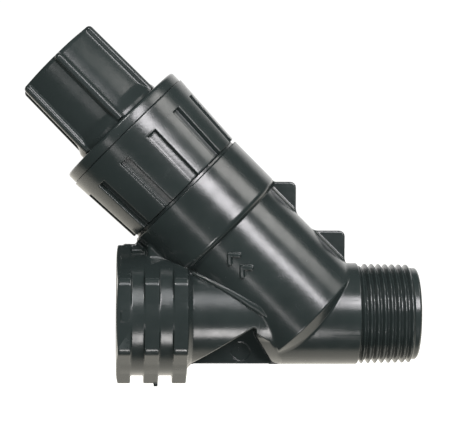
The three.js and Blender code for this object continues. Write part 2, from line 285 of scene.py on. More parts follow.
def field_normals(ob, f, to_local, to_world, near=0.05, cosine=0.55, sliver=0.07):
    """corner normals from the field where the corner lies on it, from the faces elsewhere. Millimetre mesh."""
    me = ob.data
    smooth(ob, 35)
    co = verts_of(ob).astype(float)
    loc = co @ to_local[0].T + to_local[1]
    loc = loc.astype(F)
    d = chunks(f, loc)
    g = gradient(f, loc, 0.02)
    g = g / np.maximum(np.sqrt((g * g).sum(1)), 1e-6)[:, None]
    g = g @ to_world.T
    n = len(me.loops)
    vi = np.empty(n, np.int32)
    me.loops.foreach_get("vertex_index", vi)
    cn = np.empty(n * 3, np.float32)
    me.corner_normals.foreach_get("vector", cn)
    cn = cn.reshape(-1, 3)
    ls = np.empty(len(me.polygons), np.int32)
    me.polygons.foreach_get("loop_start", ls)
    lt = np.empty(len(me.polygons), np.int32)
    me.polygons.foreach_get("loop_total", lt)
    fn = np.empty(len(me.polygons) * 3, np.float32)
    me.polygons.foreach_get("normal", fn)
    fn = np.repeat(fn.reshape(-1, 3), lt, 0)
    # a sliver's own direction says nothing, so it takes the field's normal whatever its tilt
    area = np.empty(len(me.polygons), np.float32)
    me.polygons.foreach_get("area", area)
    long = np.zeros(len(ls))
    for k in range(3):
        a, b = co[vi[ls + k]], co[vi[ls + (k + 1) % 3]]
        long = np.maximum(long, np.sqrt(((a - b) ** 2).sum(1)))
    thin = np.repeat(2 * area / np.maximum(long, 1e-6) < sliver, lt)
    use = (np.abs(d[vi]) < near) & (((g[vi] * fn).sum(1) > cosine) | thin)
    out = np.where(use[:, None], g[vi], cn)
    me.normals_split_custom_set(out.tolist())


def lathe(profile, segments):
    """closed profile [[radius, height], ...] turned about +Z; points with radius 0 are on the axis"""
    prof = [tuple(p) for p in profile]
    n = len(prof)
    closed = not (prof[0][0] == 0 and prof[-1][0] == 0)
    ang = 2 * math.pi * np.arange(segments) / segments
    verts, ring = [], []
    for r, h in prof:
        if r == 0:
            ring.append([len(verts)] * segments)
            verts.append((0, 0, h))
        else:
            ring.append(list(range(len(verts), len(verts) + segments)))
            verts += [(r * math.cos(a), r * math.sin(a), h) for a in ang]
    faces = []
    last = n if closed else n - 1
    for i in range(last):
        a, b = ring[i], ring[(i + 1) % n]
        for k in range(segments):
            k2 = (k + 1) % segments
            f = [a[k], a[k2], b[k2], b[k]]
            g = []
            for v in f:
                if v not in g:
                    g.append(v)
            if len(g) > 2:
                faces.append(g)
    return np.array(verts, float), faces


def rounded(points, steps=4):
    """[[r, h, radius], ...] -> profile with that radius at each corner"""
    out = []
    n = len(points)
    for i, p in enumerate(points):
        r = p[2] if len(p) > 2 else 0
        a, b, c = np.array(points[i - 1][:2], float), np.array(p[:2], float), np.array(points[(i + 1) % n][:2], float)
        if r <= 0 or (b[0] == 0):
            out.append((b[0], b[1]))
            continue
        u, v = (a - b), (c - b)
        lu, lv = np.linalg.norm(u), np.linalg.norm(v)
        u, v = u / lu, v / lv
        cosang = float(np.clip(u @ v, -1, 1))
        half = math.acos(cosang) / 2
        if half > math.radians(88):
            out.append((b[0], b[1]))
            continue
        t = min(r / math.tan(half), lu * 0.48, lv * 0.48)
        rr = t * math.tan(half)
        centre = b + (u + v) / np.linalg.norm(u + v) * (rr / math.sin(half))
        s, e = b + u * t - centre, b + v * t - centre
        a0, a1 = math.atan2(s[1], s[0]), math.atan2(e[1], e[0])
        d = (a1 - a0 + math.pi) % (2 * math.pi) - math.pi
        for k in range(steps + 1):
            a2 = a0 + d * k / steps
            out.append((centre[0] + rr * math.cos(a2), centre[1] + rr * math.sin(a2)))
    return out


def helix_rod(x0, x1, radius, segments=96, per_pitch=12, pitch=1.814, core=0.0):
    """solid rod about +Z from x0 to x1, whose radius at (angle, height) is radius(angle, height)"""
    rows = int(math.ceil((x1 - x0) / pitch * per_pitch))
    hs = np.linspace(x0, x1, rows + 1)
    ang = 2 * math.pi * np.arange(segments) / segments
    A, Hh = np.meshgrid(ang, hs)
    R = radius(A, Hh)
    verts = np.stack([R * np.cos(A), R * np.sin(A), Hh], -1).reshape(-1, 3)
    i, k = np.meshgrid(np.arange(rows), np.arange(segments), indexing="ij")
    k2 = (k + 1) % segments
    q = np.stack([i * segments + k, i * segments + k2, (i + 1) * segments + k2, (i + 1) * segments + k], -1).reshape(-1, 4)
    faces = [list(f) for f in q]
    if core <= 0:
        c0, c1 = len(verts), len(verts) + 1
        verts = np.concatenate([verts, [[0, 0, x0], [0, 0, x1]]])
        for k in range(segments):
            faces.append([c0, (k + 1) % segments, k])
            faces.append([c1, rows * segments + k, rows * segments + (k + 1) % segments])
    return verts, faces


def trapezoid(s, crest, root, flank):
    """one thread form, s in turns: 1 on the crest, 0 in the root. crest is the crest's flat width and flank one
    flank's, in turns; root is not used
    """
    s = np.abs((s + 0.5) % 1.0 - 0.5)
    return np.clip(1 - (s - crest / 2) / flank, 0, 1)


def boolean(a, b, op):
    m = a.modifiers.new("cut", "BOOLEAN")
    m.operation = op
    m.object = b
    m.solver = "MANIFOLD"
    apply_modifiers(a)
    me = b.data
    bpy.data.objects.remove(b)
    bpy.data.meshes.remove(me)
    return a


def mesh_transform(ob, rot, move=(0, 0, 0)):
    m = Matrix([list(rot[i]) + [move[i]] for i in range(3)] + [[0, 0, 0, 1]])
    ob.data.transform(m)
    ob.data.update()


# branch frame: local x = t (up and towards the male end), y = Y, z = along the branch
R_BRANCH_FRAME = np.array([[C45, 0, -C45], [0, 1, 0], [C45, 0, C45]])   # local -> crossing frame
R_ALONG_X = np.array([[0, 0, 1], [1, 0, 0], [0, 1, 0]], float)          # local z -> X, local x -> Y, local y -> Z
OFFSET = np.array([-X_MOUTH, 0, 0])


def to_row(ob, rot=np.eye(3)):
    """crossing frame (after rot) in millimetres -> row frame in metres"""
    mesh_transform(ob, (np.asarray(rot) * MM).tolist(), (OFFSET * MM).tolist())


# ------------------------------------------------------------------ body
POCKET = [[-31.6, -13.6], [-30.6, -12.85], [-15.3, -3.2], [-14.7, -3.4], [-14.4, -5.4], [-9.7, -12.7], [-9.4, -19], [-31.6, -19]]
BLOCK = [[-42.6, 12], [-42.6, 17.6], [-41.6, 18.9], [-40.3, 19.0], [-36, 15.5], [-22, 8], [-22, 4]]


def xz(t, u):
    return [(t - u) * C45, (t + u) * C45]


PLATE = [[-48.5, 13], [-48.5, 18.2], [-45.8, 18.2], [-44.3, 19.85], xz(-14, 44.5), xz(-12, 20), [-28, 4]]


def lug_outline(x1, z1, u):
    r = 1.5
    arc = [[x1 - r + r * math.cos(a), z1 - r + r * math.sin(a)] for a in np.radians(90 - 22.5 * np.arange(5))]
    return [xz(12, u), xz(12, u + 9), [x1 - 8.5, z1], *arc, [x1, z1 - 8.5]]


LUGS = [lug_outline(-3.35, 34.8, 22), lug_outline(9.65, 21.95, 3.5)]
RISING = [[-36, -9.4], [-30.3, -9.4], [-17.13, -1.11], xz(-12.9, 16.0), xz(-4, 16.0), [-13.4, 9.3], [-36, 9.3]]
DROP = 0.3


def body_field(x, y, z):
    ay = np.abs(y)
    u = (z - x) * F(C45)
    t = (x + z) * F(C45)
    rho = np.sqrt(t * t + y * y)
    r = np.sqrt(y * y + z * z)
    zd = z + F(DROP)
    # branch: lower barrel, collar, rim, neck
    end = (-0.5 - u - 0.8 * (16.5 - rho)) * 0.781
    lower = np.maximum(iround(rho - 16.5, end, 0.2), u - 32.0)
    collar = iround(iround(rho - 18.3, 30.75 - u, 1.7), u - 45.9, 0.2)
    d = uround(lower, collar, 0.3)
    d = np.minimum(d, np.maximum(rho - 17.4, np.maximum(u - 46.70, 40 - u)))
    d = np.minimum(d, iround(rho - 15.6, np.maximum(u - 64.0, 40 - u), 0.6))
    # male side
    male = iround(r - 13.4, np.maximum(x - 12.9, -14 - x), 0.35)
    d = uround(d, male, 0.35)
    # female side: barrel, cone, sleeves, rings
    cone = np.maximum(r - (13.4 + np.clip((-30.9 - x) / 1.2, 0, 1) * 1.3), x + 8)
    fem = np.maximum(cone, -45 - x)
    rs = np.sqrt(y * y + (z + 0.15) ** 2)
    sleeve = np.maximum(rs - 16.3, np.maximum(-49.5 - x, x + 32.35))
    fem = np.minimum(fem, sleeve)
    hx = iround(hexagon(y, zd, 16.195), hexagon(y, zd, 18.23, 30.0), 0.25)
    for i, (a, b) in enumerate([[-50.7, -46.9], [-43.5, -39.6], [-36.0, -32.2]]):
        ring = iround(hx, np.abs(x - (a + b) / 2) - (b - a) / 2, 0.4)
        if i == 0:
            rd = np.sqrt(y * y + zd * zd)
            ring = iround(ring, (rd - 16.6 - (x + 50.7) * 3.8) * 0.254, 0.3)
        fem = uround(fem, ring, 0.3)
    nib = np.maximum(np.maximum(np.abs(x + 40.2) - 0.55, ay - 0.6), np.maximum(-19.32 - z, z + 17.0))
    fem = np.minimum(fem, nib)
    d = uround(d, fem, 0.2)
    # raised bead where the female barrel runs into the branch
    bead = np.sqrt((r - 13.95) ** 2 + (rho - 16.62) ** 2) - 0.55 * np.clip((z + 1.0) / 3.0, 0, 1)
    d = uround(d, np.maximum(bead, np.maximum(-2.0 - z, x + 7)), 0.08)
    # stiffeners and lugs
    near = (x < -20) & (z > 2)
    block = np.full(x.shape, 9, F)
    plate = np.full(x.shape, 9, F)
    block[near] = iround(polygon(x[near], z[near], BLOCK), ay[near] - 7.4, 1.1)
    plate[near] = iround(polygon(x[near], z[near], PLATE), ay[near] - 1.5, 0.45)
    d = uround(d, block, 0.8)
    d = uround(d, plate, 0.7)
    near = (x > -20) & (z > 8)
    for pts in LUGS:
        lug = np.full(x.shape, 9, F)
        lug[near] = iround(polygon(x[near], z[near], pts), ay[near] - 1.6, 0.4)
        d = uround(d, lug, 0.8)
    # pocket either side of the web
    near = (x > -36) & (x < -4) & (z < 2)
    pocket = np.full(x.shape, 9, F)
    wall = np.clip(2.1 - (np.sqrt(np.maximum(13.4 ** 2 - z[near] ** 2, 1)) - ay[near]), 0, 2.6)
    pocket[near] = polygon(x[near], z[near], POCKET) - np.where(x[near] > -15.0, wall * np.clip((-4.6 - z[near]) / 2.4, 0, 1), 0)
    d = iround(d, -np.maximum(pocket, 1.5 - ay), 0.3)
    d = np.maximum(d, -np.maximum(np.abs(x + 20.4) - 10.0, np.maximum(z + 13.25, ay - 1.9)))
    # round ejector mark on the web, both sides
    mark = iround(np.sqrt((x + 17.9) ** 2 + (z + 10.0) ** 2) - 2.5, 1.34 - ay, 0.1)
    d = iround(d, -np.where(z < -1, mark, 9), 0.1)
    # two plain chevrons on the branch
    arc = np.arctan2(t, -y) * 16.5
    for a0, u0 in ((-4.3, 25.6), (-4.3, 21.0)):
        stroke = np.minimum(segment(arc, u, (a0 - 1.6, u0 - 0.8), (a0, u0 + 0.9)), segment(arc, u, (a0 + 1.6, u0 - 0.8), (a0, u0 + 0.9))) - 0.56
        chevron = iround(stroke, np.maximum(rho - 17.2, 15.5 - rho), 0.26)
        d = np.where(y < 0, uround(d, chevron, 0.15), d)
    # inside
    rise = np.full(x.shape, 9, F)
    near = (x < -6) & (z > -14) & (z < 14)
    rise[near] = polygon(x[near], z[near], RISING)
    d = np.maximum(d, -iround(r - 9.0, np.maximum(rise, -34.5 - x), 0.8))
    d = np.maximum(d, -np.maximum(rho - 9.9, np.maximum(-3 - u, u - 17)))
    d = np.maximum(d, -np.maximum(rho - 13.0, 16.0 - u))
    return d


def male_radius(ang, x):
    # right-hand thread; angle 0 is +Y, 90 degrees is +Z. A crest passes the bottom at x = 15.95
    turns = (x - 15.95) / 1.814 - (ang + math.pi / 2) / (2 * math.pi)
    crest = 13.22 - 0.016 * (x - 13.9)
    form = trapezoid(turns, 0.16, 0.1, 0.37)
    fade = np.clip((x - 12.7) / 1.3, 0, 1) * np.clip((27.35 - x) / 0.6, 0, 1)
    r = 12.12 + (crest - 12.12) * form * fade
    r = np.where(x < 13.3, np.maximum(r, 12.12 + np.clip((13.3 - x) / 0.5, 0, 1) * 0.9), r)
    lead = np.clip((x - 27.45) / (28.95 - 27.45), 0, 1)
    return np.where(x > 26.9, np.minimum(r, 12.35 - 1.35 * (1 - np.sqrt(np.maximum(1 - lead ** 2, 0)))), r)


def socket_radius(ang, x):
    turns = (x + 50.7) / 1.814 - ang / (2 * math.pi)
    form = trapezoid(turns, 0.14, 0.12, 0.37)
    r = 12.1 + 1.14 * form * np.clip((-35.0 - x) / 1.2, 0, 1)
    mouth = 12.1 + np.clip((-48.9 - x) / 1.8, 0, 1) * 1.9
    return np.maximum(r, mouth)


def build_body():
    ob = field_object("y_body_moulding", body_field, (-57.2, -19.5, -19.9), (14.0, 19.5, 57.2), 0.30, 165000)
    return ob


def rod(name, x0, x1, radius, **kw):
    v, f = helix_rod(x0, x1, radius, **kw)
    ob = new_mesh(name, v @ R_ALONG_X.T, f, 1.0)
    return ob


# ------------------------------------------------------------------ nut, ring, cap
def nut_mesh():
    """tapered sleeve with twelve recesses open at the bottom edge, as rings of shared columns"""
    u0, u1, half, depth, stop = 46.8, 67.5, 1.4, 1.35, 62.7
    taper = (19.45 - 18.3) / (u1 - u0)
    # distance from the recess outline and the depth there: floor, floor fillet, wall, lip
    outline = [(-0.30, 1.0, 0.0), (-0.16, 1.0, -0.03), (-0.07, 1.0, -0.09), (-0.02, 1.0, -0.20), (0.0, 0.0, 0.16),
               (0.02, 0.0, 0.09), (0.07, 0.0, 0.035), (0.13, 0.0, 0.008), (0.18, 0.0, 0.0)]
    es = np.array([o[0] for o in outline])
    ds = np.array([depth * o[1] + o[2] for o in outline])
    t = [-(half + e) for e in es[::-1]] + [-0.55, 0.0, 0.55] + [half + e for e in es]
    pitch = 2 * math.pi * 18.9 / 12
    rest = np.linspace(half + 0.18, pitch - half - 0.18, 16)[1:-1]
    t = np.array(t + rest.tolist())
    cols = np.concatenate([math.radians(-90 + 10) + (t + k * pitch) / 18.9 for k in range(12)])
    tt = np.tile(np.minimum(np.abs(t), pitch - t), 12)
    z = [u0 + 0.2, u0 + 0.6] + np.linspace(u0 + 1.4, stop - 1.0, 16).tolist() + (stop + es).tolist() + [stop + 0.8, 64.6, 65.6, 66.6, 67.1, u1 - 0.12]
    rings = []
    for h in z:
        e = np.maximum(tt - half, h - stop)
        cut = np.interp(e, es, ds)
        rings.append((18.3 + (h - u0) * taper - cut, np.full(len(tt), h)))
    first, last = rings[0], rings[-1]
    for k in (1, 2, 3):
        a = k * math.pi / 6
        rings.insert(0, (first[0] - 0.2 * (1 - math.cos(a)), np.full(len(tt), u0 + 0.2 * (1 - math.sin(a)))))
    for k in (1, 2, 3):
        a = k * math.pi / 6
        rings.append((last[0] - 0.12 * (1 - math.cos(a)), np.full(len(tt), u1 - 0.12 + 0.12 * math.sin(a))))
    for r, h in ((14.1, u1), (13.84, u1 - 0.02), (13.7, u1 - 0.14), (13.7, 66.05), (13.76, 65.94), (13.9, 65.9), (15.8, 65.9), (15.9, 65.8),
                 (15.9, 56.0), (15.9, u0 + 0.15), (15.95, u0 + 0.04), (16.05, u0)):
        rings.append((np.full(len(tt), r), np.full(len(tt), h)))
    n = len(tt)
    v = np.concatenate([np.stack([r * np.cos(cols), r * np.sin(cols), h], 1) for r, h in rings])
    i = np.arange(len(rings))[:, None]
    j = np.arange(n)[None, :]
    i2, j2 = (i + 1) % len(rings), (j + 1) % n
    q = np.stack([i * n + j + 0 * i, i * n + j2, i2 * n + j2, i2 * n + j], -1).reshape(-1, 4)
    return v.astype(F), q


def cap_field(x, y, z):
    u0, u1 = 70.6, 94.45
    rho = np.sqrt(x * x + y * y)
    v = np.clip((z - u0 - 1.0) / 3.6, 0, 1)
    flare = (rho - (13.2 + (11.2 - 13.2) * v * v * (3 - 2 * v))) * 0.9
    ang = np.arctan2(y, x) - math.radians(-90 + 2.3)
    k = np.round(ang / (math.pi / 3))
    a = ang - k * (math.pi / 3)
    k2 = np.floor(ang / (math.pi / 3)) + 0.5
    facet = rho * np.cos(ang - k2 * (math.pi / 3))
    taper = np.clip((z - u0) / 24.0, 0, 1) * 0.35
    core = 0.6 * (facet - 11.95) + 0.4 * (rho - 11.95) + taper
    core = uround(core, flare, 1.2)
    lat, rad = rho * np.sin(a), rho * np.cos(a)
    tip = 14.06 - (z - u0) * 0.0147
    rib = iround(np.abs(lat) - (1.05 - (rad - 12.5) * 0.05), rad - tip, 0.8)
    rib = np.maximum(rib, u0 + 0.4 - z)
    d = uround(core, rib, 0.55)
    top = z - u1 - 0.55 * np.clip(1 - (rho / 12.5) ** 2, 0, 1)
    d = iround(iround(d, top, 1.1), u0 - z, 0.25)
    # shallow round gate well on the top
    d = iround(d, -np.maximum(rho - 1.6, u1 + 0.2 - z), 0.15)
    d = np.maximum(d, -np.maximum(rho - 9.3, z - 91.4))
    d = np.maximum(d, -np.maximum(rho - 9.3 - np.clip((u0 + 0.7 - z) / 0.7, 0, 1) * 0.6, z - u0 - 0.8))
    return d


def place_branch(ob):
    to_row(ob, R_BRANCH_FRAME)


IDENT = (np.eye(3), np.zeros(3))
INVERSE = (R_BRANCH_FRAME.T, np.zeros(3))
pieces = {}


def keep(ob, name, body, node, slot):
    ob.name = name
    ob.data.name = name
    pieces[name] = ob
    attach(ob, body)
    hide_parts(node)
    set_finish(ob, slot)
    return ob


# body: field mesh, then the two threads and the bores as exact cuts
body = build_body()
thread = rod("male_thread_tool", 11.0, 28.95, male_radius, segments=120, per_pitch=14)
boolean(body, thread, "UNION")
bore = rod("male_bore_tool", -4.9, 29.5, lambda a, x: np.where(x > 28.55, 9.0 + (x - 28.55), 9.0), segments=96, per_pitch=4)
boolean(body, bore, "DIFFERENCE")
sock = rod("socket_tool", -51.3, -33.6, socket_radius, segments=120, per_pitch=12)
boolean(body, sock, "DIFFERENCE")
field_normals(body, body_field, IDENT, np.eye(3))
to_row(body)
keep(body, "body_moulding", "body", "y_body", "body_plastic")

nut = new_mesh("nut", *nut_mesh(), 1.0)
smooth(nut, 35)
place_branch(nut)
keep(nut, "slotted_nut", "nut", "retaining_nut", "nut_plastic")

cap = field_object("cap", cap_field, (-14.8, -14.8, 70.2), (14.8, 14.8, 95.4), 0.24, 196000)
field_normals(cap, cap_field, IDENT, np.eye(3), near=0.2, cosine=0.0, sliver=0.0)
place_branch(cap)
keep(cap, "ribbed_flush_cap", "flush_cap", "flush_cap", "cap_plastic")


def turned_piece(name, profile, segments, node, body_name, slot, angle=40):
    v, f = lathe(profile, segments)
    ob = new_mesh(name, v, f, 1.0)
    bm = bmesh.new()
    bm.from_mesh(ob.data)
    bmesh.ops.recalc_face_normals(bm, faces=bm.faces)
    bm.to_mesh(ob.data)
    bm.free()
    smooth(ob, angle)
    place_branch(ob)
    return keep(ob, name, body_name, node, slot)


turned_piece("bonnet_lift_ring", rounded([
    (13.75, 67.62, 0.1), (18.98, 67.62, 0.02), (18.99, 67.72, 0.02), (19.1, 67.72, 0.06), (19.1, 70.6, 0.75), (14.9, 70.6, 0.3), (14.5, 70.3, 0.2),
    (13.7, 70.3, 0.2), (13.7, 69.5, 0.1), (13.0, 69.4, 0.15), (13.0, 68.8, 0.15), (13.7, 68.7, 0.1)], 5), 160,
    "lift_ring", "bonnet", "nut_plastic")


def bonnet_radius_profile():
    return rounded([
        (5.5, 47.0, 0.3), (8.7, 47.0, 0.4), (8.7, 50.4, 0.12), (7.7, 50.4, 0.15), (7.7, 52.9, 0.15), (8.7, 52.9, 0.12), (8.7, 56.0, 0.3),
        (12.7, 56.0, 0.4), (12.7, 59.2, 0.12), (11.0, 59.2, 0.2), (11.0, 61.4, 0.2), (12.7, 61.4, 0.12), (12.7, 64.3, 0.2),
        (15.2, 64.3, 0.2), (15.2, 65.6, 0.2), (13.35, 65.6, 0.15), (13.35, 68.4, 0.1), (12.65, 68.4, 0.1), (12.65, 69.8, 0.1),
        (13.25, 69.8, 0.1), (13.25, 70.3, 0.15), (8.6, 70.3, 0.4), (8.6, 89.6, 0.5), (5.5, 89.6, 0.35)], 3)


def spigot_radius(ang, h):
    turns = h / 2.5 - ang / (2 * math.pi)
    form = trapezoid(turns, 0.2, 0.2, 0.3)
    return np.maximum(8.6, 8.1 + 0.86 * form * np.clip((h - 72.0) / 1.6, 0, 1) * np.clip((88.9 - h) / 1.0, 0, 1))


def bonnet_mesh(columns=144):
    """turned plug whose spigot carries a thread, as rings of shared columns"""
    ang = 2 * math.pi * np.arange(columns) / columns
    prof = bonnet_radius_profile()
    rings = []
    for k, (r, h) in enumerate(prof):
        rings.append((np.full(columns, float(r)), float(h)))
        r2, h2 = prof[(k + 1) % len(prof)]
        if abs(r - 8.6) < 1e-6 and abs(r2 - 8.6) < 1e-6 and h2 - h > 5:
            for up in np.arange(h + 0.5, h2 - 0.1, 0.14):
                rings.append((spigot_radius(ang, np.full(columns, up)), float(up)))
    v = np.concatenate([np.stack([r * np.cos(ang), r * np.sin(ang), np.full(columns, h)], 1) for r, h in rings])
    i = np.arange(len(rings))[:, None]
    j = np.arange(columns)[None, :]
    i2, j2 = (i + 1) % len(rings), (j + 1) % columns
    return v, np.stack([i * columns + j, i * columns + j2, i2 * columns + j2, i2 * columns + j], -1).reshape(-1, 4)


bonnet = new_mesh("bonnet", *bonnet_mesh(), 1.0)
smooth(bonnet, 40)
place_branch(bonnet)
keep(bonnet, "bonnet_moulding", "bonnet", "bonnet", "bonnet_plastic")


def torus_profile(R, r, u, n=20):
    return [(R + r * math.cos(a), u + r * math.sin(a)) for a in 2 * math.pi * np.arange(n) / n]


turned_piece("bonnet_o_ring", torus_profile(12.05, 0.75, 60.3), 120, "bonnet_oring", "bonnet", "seal_rubber", 80)
turned_piece("screen_o_ring", torus_profile(8.6, 0.6, 51.65), 96, "screen_upper_seal", "bonnet", "seal_rubber", 80)
turned_piece("flush_seal_washer", rounded([(4.4, 89.9, 0.2), (8.9, 89.9, 0.2), (8.9, 91.1, 0.2), (4.4, 91.1, 0.2)], 3), 96,
             "flush_cap_seal", "flush_seal", "seal_rubber")
turned_piece("screen_seat_seal", rounded([(9.95, 16.3, 0.2), (12.4, 16.3, 0.25), (12.4, 17.6, 0.25), (9.95, 17.6, 0.2)], 3), 96,
             "screen_lower_seal", "bonnet", "seal_rubber")
turned_piece("screen_top_ring", rounded([(9.5, 50.3, 0.15), (11.6, 50.3, 0.2), (11.6, 52.6, 0.15), (11.0, 53.2, 0.1), (11.0, 55.4, 0.25), (9.5, 55.4, 0.15)], 3), 96,
             "screen_upper_ring", "bonnet", "screen_plastic")
turned_piece("screen_bottom_ring", rounded([(9.3, 16.4, 0.1), (9.6, 16.4, 0.1), (9.6, 17.9, 0.05), (12.2, 17.9, 0.1), (12.2, 18.7, 0.15), (9.3, 18.7, 0.1)], 3), 96,
             "screen_lower_ring", "bonnet", "screen_plastic")


# screen cage: tube with three rows of six windows
def cage_object():
    low, high, post, rows = 19.0, 50.0, 1.8, 3
    hgt = (high - low - (rows + 1) * post) / rows
    v, f = lathe(rounded([(9.9, low, 0.12), (10.9, low, 0.15), (10.9, high, 0.15), (9.9, high, 0.12)], 2), 180)
    ob = new_mesh("cage_tool", v, f, 1.0)
    bm = bmesh.new()
    bm.from_mesh(ob.data)
    bmesh.ops.recalc_face_normals(bm, faces=bm.faces)
    bm.to_mesh(ob.data)
    bm.free()
    for r in range(rows):
        for c in range(6):
            u = low + post + r * (hgt + post)
            bm = bmesh.new()
            bmesh.ops.create_cube(bm, size=1.0)
            a = math.radians(60 * c + 30)
            m = Matrix.Rotation(a, 4, "Z") @ Matrix.Translation((10.4, 0, u + hgt / 2)) @ Matrix.Diagonal((4, 7.6, hgt, 1))
            bmesh.ops.transform(bm, matrix=m, verts=bm.verts)
            edges = [e for e in bm.edges if abs((m.to_3x3().inverted() @ (e.verts[1].co - e.verts[0].co)).normalized().x) > 0.9]
            bmesh.ops.bevel(bm, geom=edges, offset=0.9, segments=4, affect="EDGES", profile=0.5)
            me = bpy.data.meshes.new("w")
            bm.to_mesh(me)
            bm.free()
            w = bpy.data.objects.new("w", me)
            bpy.context.scene.collection.objects.link(w)
            boolean(ob, w, "DIFFERENCE")
    smooth(ob, 40)
    place_branch(ob)
    return keep(ob, "cage", "bonnet", "screen_cage", "screen_plastic")


cage_object()


# woven screen: real wires, over and under
def woven():
    R, u0, u1, rw = 9.45, 19.3, 49.7, 0.07
    nv, nh = 48, 24
    rings = np.linspace(u0 + 0.2, u1 - 0.2, nh)
    amp = rw * 0.95
    verts, faces, base = [], [], 0
    sides = 5
    cs = 2 * math.pi * np.arange(sides) / sides

    def tube(path, normal, binormal, closed):
        nonlocal base
        n = len(path)
        p = path[:, None, :] + rw * (np.cos(cs)[None, :, None] * normal[:, None, :] + np.sin(cs)[None, :, None] * binormal[:, None, :])
        verts.append(p.reshape(-1, 3))
        m = n if closed else n - 1
        for i in range(m):
            j = (i + 1) % n
            for k in range(sides):
                k2 = (k + 1) % sides
                faces.append([base + i * sides + k, base + i * sides + k2, base + j * sides + k2, base + j * sides + k])
        if not closed:
            faces.append([base + k for k in range(sides)][::-1])
            faces.append([base + (n - 1) * sides + k for k in range(sides)])
        base += n * sides

    for i in range(nv):
        a = 2 * math.pi * i / nv
        s = 1 if i % 2 else -1
        us = np.linspace(u0, u1, nh * 2 + 1)
        phase = (us - rings[0]) / (rings[1] - rings[0]) * math.pi
        rr = R + s * amp * np.cos(phase)
        e = np.array([math.cos(a), math.sin(a), 0])
        path = rr[:, None] * e + us[:, None] * np.array([0, 0, 1])
        tube(path, np.tile(e, (len(us), 1)), np.tile([-math.sin(a), math.cos(a), 0], (len(us), 1)), False)
    for j, u in enumerate(rings):
        n = nv * 2
        aa = 2 * math.pi * np.arange(n) / n
        s = -1 if j % 2 == 0 else 1
        rr = R - s * -1 * amp * np.cos(aa * nv / 2 * 1.0) * 1.0
        e = np.stack([np.cos(aa), np.sin(aa), 0 * aa], -1)
        path = rr[:, None] * e + np.array([0, 0, u])
        tube(path, e, np.tile([0, 0, 1.0], (n, 1)), True)
    ob = new_mesh("woven_wire_screen", np.concatenate(verts), faces, 1.0)
    bm = bmesh.new()
    bm.from_mesh(ob.data)
    bmesh.ops.recalc_face_normals(bm, faces=bm.faces)
    bm.to_mesh(ob.data)
    bm.free()
    smooth(ob, 80)
    place_branch(ob)
    return keep(ob, "woven_wire_screen", "bonnet", "screen_mesh", "screen_steel")


woven()


# ------------------------------------------------------------------ materials
def node(tree, kind, where, **inputs):
    n = tree.nodes.new(kind)
    n.location = where
    for k, v in inputs.items():
        n.inputs[k.replace("_", " ")].default_value = v
    return n


